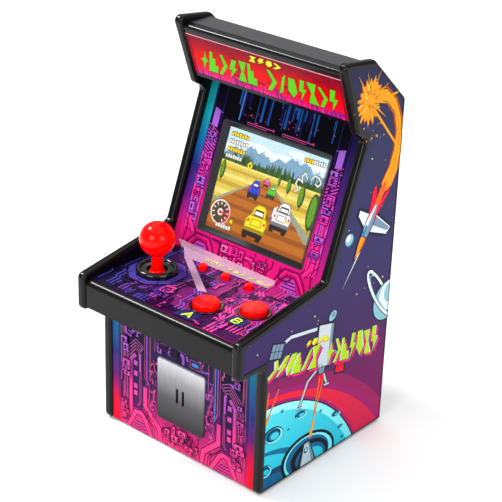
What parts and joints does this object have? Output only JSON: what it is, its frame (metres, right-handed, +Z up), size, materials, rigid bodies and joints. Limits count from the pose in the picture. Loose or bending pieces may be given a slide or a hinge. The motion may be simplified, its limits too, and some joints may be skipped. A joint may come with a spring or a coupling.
{
  "type": "desktop arcade cabinet",
  "caption": "Small free-standing toy arcade cabinet with a sloping screen, a lit marquee, a ball-top joystick, push buttons on a flat deck and a battery compartment in its back.",
  "frame": {"origin": "on the surface the cabinet stands on, below the middle of its outline", "axes": "+X to the player's right, +Y to the back, +Z up"},
  "size_m": [0.077, 0.084, 0.1495],
  "materials": {
    "black_shell": "gloss black moulded plastic, slightly uneven",
    "charcoal_shell": "satin charcoal moulded plastic",
    "printed_film": "printed vinyl film with a clear laminate",
    "marquee_print": "printed acrylic strip",
    "steel_plate": "brushed plate",
    "bezel_grey": "satin grey plastic",
    "clear_lens": "clear acrylic window",
    "lcd_glass": "lit picture panel",
    "tray_steel": "pressed tray",
    "circuit_board": "green solder mask",
    "chip_black": "moulded epoxy",
    "ribbon_film": "polyimide film",
    "lead_cover": "flexible insulation",
    "red_gloss": "glossy red plastic",
    "black_gloss": "glossy black plastic",
    "housing_plastic": "moulded plastic",
    "cell_jacket": "printed jacket with bare ends",
    "spring_steel": "nickel-plated wire and strip",
    "screw_steel": "zinc-plated steel",
    "silicone": "soft silicone rubber",
    "foot_rubber": "soft rubber",
    "speaker_steel": "coated steel basket",
    "cone_paper": "pressed paper cone"
  },
  "bodies": {
    "cabinet": {"side_panel_left": "black_shell", "side_panel_right": "black_shell", "side_art_left": "printed_film", "side_art_right": "printed_film", "front_panel": "charcoal_shell", "front_art": "printed_film", "coin_plate": "steel_plate", "control_deck": "charcoal_shell", "control_art": "printed_film", "fascia_panel": "charcoal_shell", "fascia_art": "printed_film", "screen_bezel": "bezel_grey", "screen_lens": "clear_lens", "lcd_panel": "lcd_glass", "lcd_tray": "tray_steel", "main_board": "circuit_board", "main_board_chips": "chip_black", "lcd_ribbon": "ribbon_film", "marquee_frame": "black_shell", "marquee_panel": "marquee_print", "top_cover": "charcoal_shell", "rear_cover": "charcoal_shell", "battery_box": "housing_plastic", "aa_cells": "cell_jacket", "battery_contacts": "spring_steel", "battery_springs": "spring_steel", "base_plate": "charcoal_shell", "rubber_feet": "foot_rubber", "case_screws": "screw_steel", "board_screws": "screw_steel", "joystick_housing": "housing_plastic", "joystick_collar": "black_gloss", "joystick_board": "circuit_board", "direction_switches": "chip_black", "centring_spring": "spring_steel", "button_rings": "black_gloss", "silicone_sheet": "silicone", "control_board": "circuit_board", "speaker": "speaker_steel", "speaker_cone": "cone_paper", "power_switch": "chip_black", "battery_leads": "lead_cover", "speaker_leads": "lead_cover", "control_ribbon": "ribbon_film", "dome_a": "silicone", "dome_b": "silicone", "dome_reset": "silicone", "dome_start": "silicone", "dome_volume": "silicone"},
    "gimbal": {"gimbal_ring": "housing_plastic"},
    "joystick": {"joystick_stem": "red_gloss", "joystick_ball": "red_gloss", "stick_pin": "spring_steel"},
    "button_a": {"button_a": "red_gloss"},
    "button_b": {"button_b": "red_gloss"},
    "button_reset": {"button_reset": "red_gloss"},
    "button_start": {"button_start": "red_gloss"},
    "button_volume": {"button_volume": "red_gloss"},
    "power_knob": {"power_knob": "black_gloss"},
    "battery_door": {"battery_door": "charcoal_shell"}
  },
  "joints": [
    {"name": "joystick_tilt_x", "type": "hinge", "parent": "cabinet", "child": "gimbal", "pos_m": [-0.0213, -0.0188, 0.0608], "axis": [1, 0, 0], "range_deg": [-10, 10], "stiffness_Nm_per_rad": 0.03},
    {"name": "joystick_tilt_y", "type": "hinge", "parent": "gimbal", "child": "joystick", "pos_m": [-0.0213, -0.0188, 0.0608], "axis": [0, 1, 0], "range_deg": [-10, 10], "stiffness_Nm_per_rad": 0.03},
    {"name": "button_a_press", "type": "slide", "parent": "cabinet", "child": "button_a", "axis": [0, 0, -1], "range_m": [0, 0.0012], "stiffness_N_per_m": 350, "springref_m": -0.0006, "deforming": ["dome_a"]},
    {"name": "button_b_press", "type": "slide", "parent": "cabinet", "child": "button_b", "axis": [0, 0, -1], "range_m": [0, 0.0012], "stiffness_N_per_m": 350, "springref_m": -0.0006, "deforming": ["dome_b"]},
    {"name": "button_reset_press", "type": "slide", "parent": "cabinet", "child": "button_reset", "axis": [0, 0, -1], "range_m": [0, 0.0008], "stiffness_N_per_m": 300, "springref_m": -0.0006, "deforming": ["dome_reset"]},
    {"name": "button_start_press", "type": "slide", "parent": "cabinet", "child": "button_start", "axis": [0, 0, -1], "range_m": [0, 0.0008], "stiffness_N_per_m": 300, "springref_m": -0.0006, "deforming": ["dome_start"]},
    {"name": "button_volume_press", "type": "slide", "parent": "cabinet", "child": "button_volume", "axis": [0, 0, -1], "range_m": [0, 0.0008], "stiffness_N_per_m": 300, "springref_m": -0.0006, "deforming": ["dome_volume"]},
    {"name": "power_slide", "type": "slide", "parent": "cabinet", "child": "power_knob", "axis": [1, 0, 0], "range_m": [0, 0.003]},
    {"name": "battery_door_hinge", "type": "hinge", "parent": "cabinet", "child": "battery_door", "pos_m": [0, 0.0402, 0.0105], "axis": [-1, 0, 0], "range_deg": [0, 75]}
  ]
}
